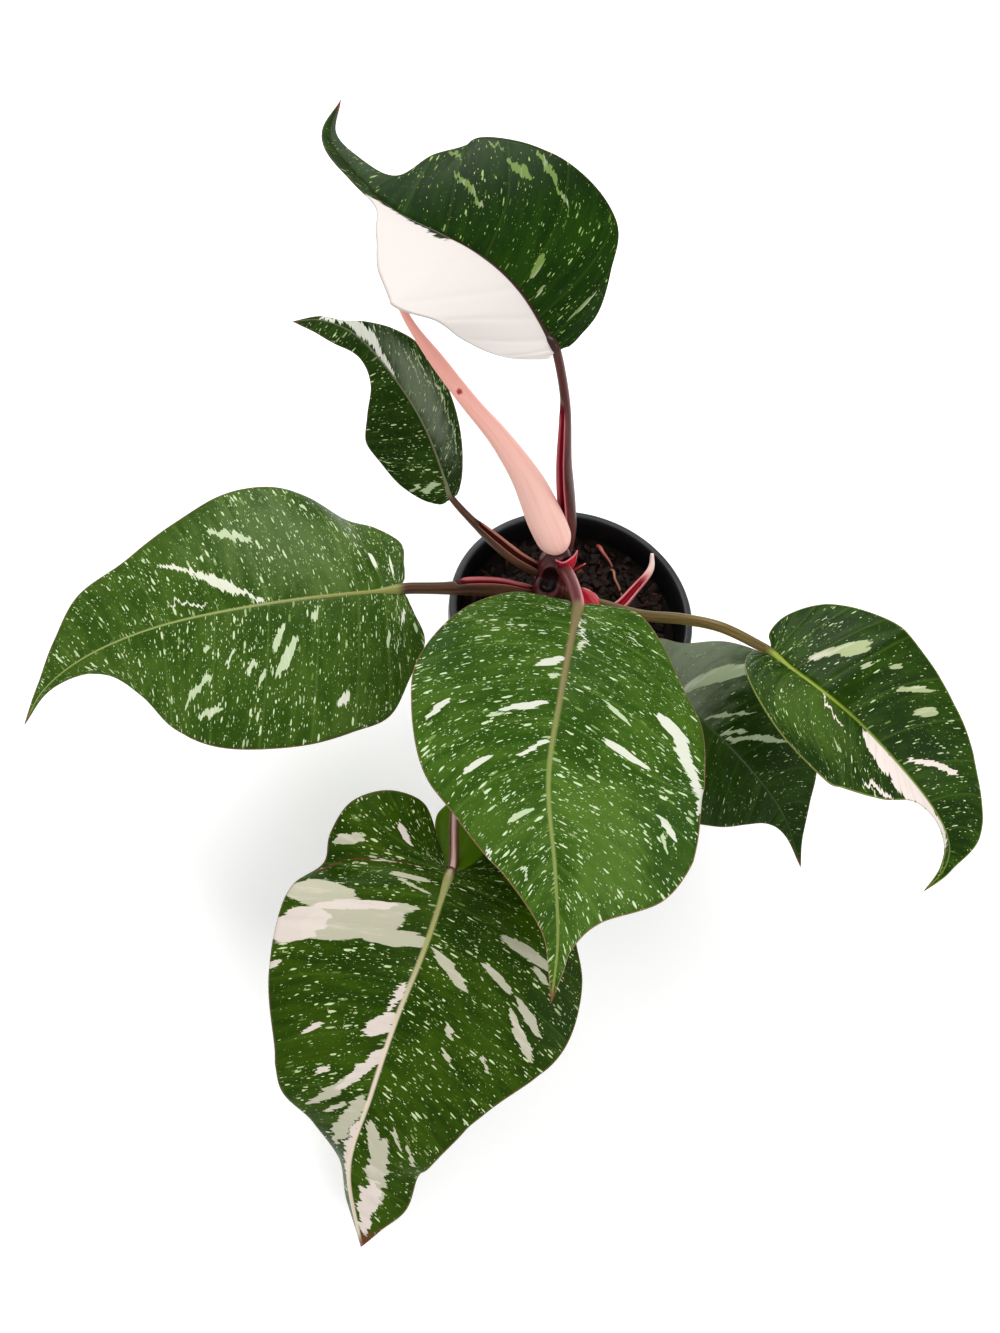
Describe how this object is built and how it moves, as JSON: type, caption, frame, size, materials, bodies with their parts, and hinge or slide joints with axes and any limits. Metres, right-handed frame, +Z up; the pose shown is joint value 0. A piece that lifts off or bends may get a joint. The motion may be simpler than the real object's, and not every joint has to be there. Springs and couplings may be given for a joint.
{
  "type": "potted knight marble philodendron",
  "caption": "Potted philodendron with broad heart-shaped leaves marbled in white and mint, a rolled pink new leaf and a round tapered nursery pot.",
  "frame": {"origin": "centre of the pot's flat base, on the surface it stands on", "axes": "+Z up; the plant's front, where the front and bottom leaves hang out, looks along -Y"},
  "size_m": [0.4103, 0.3969, 0.2671],
  "materials": {
    "pot": "satin",
    "potting_mix": "rough",
    "stem": "satin",
    "maroon_stalk": "satin",
    "olive_stalk": "satin",
    "pink_stalk": "satin",
    "dark_leaf": "waxy",
    "mid_leaf": "waxy",
    "new_leaf": "satin",
    "crimson_shoot": "satin"
  },
  "bodies": {
    "root": {"pot": "pot", "potting_mix": "potting_mix", "stem": "stem", "stalk_top": "maroon_stalk", "leaf_top": "dark_leaf", "stalk_upper_left": "maroon_stalk", "leaf_upper_left": "dark_leaf", "stalk_left": "olive_stalk", "leaf_left": "mid_leaf", "stalk_front": "pink_stalk", "leaf_front": "mid_leaf", "stalk_bottom": "pink_stalk", "leaf_bottom": "dark_leaf", "stalk_right": "olive_stalk", "leaf_right": "dark_leaf", "stalk_lower_right": "olive_stalk", "leaf_lower_right": "dark_leaf", "rolled_new_leaf": "new_leaf", "side_shoot": "crimson_shoot"}
  },
  "joints": []
}
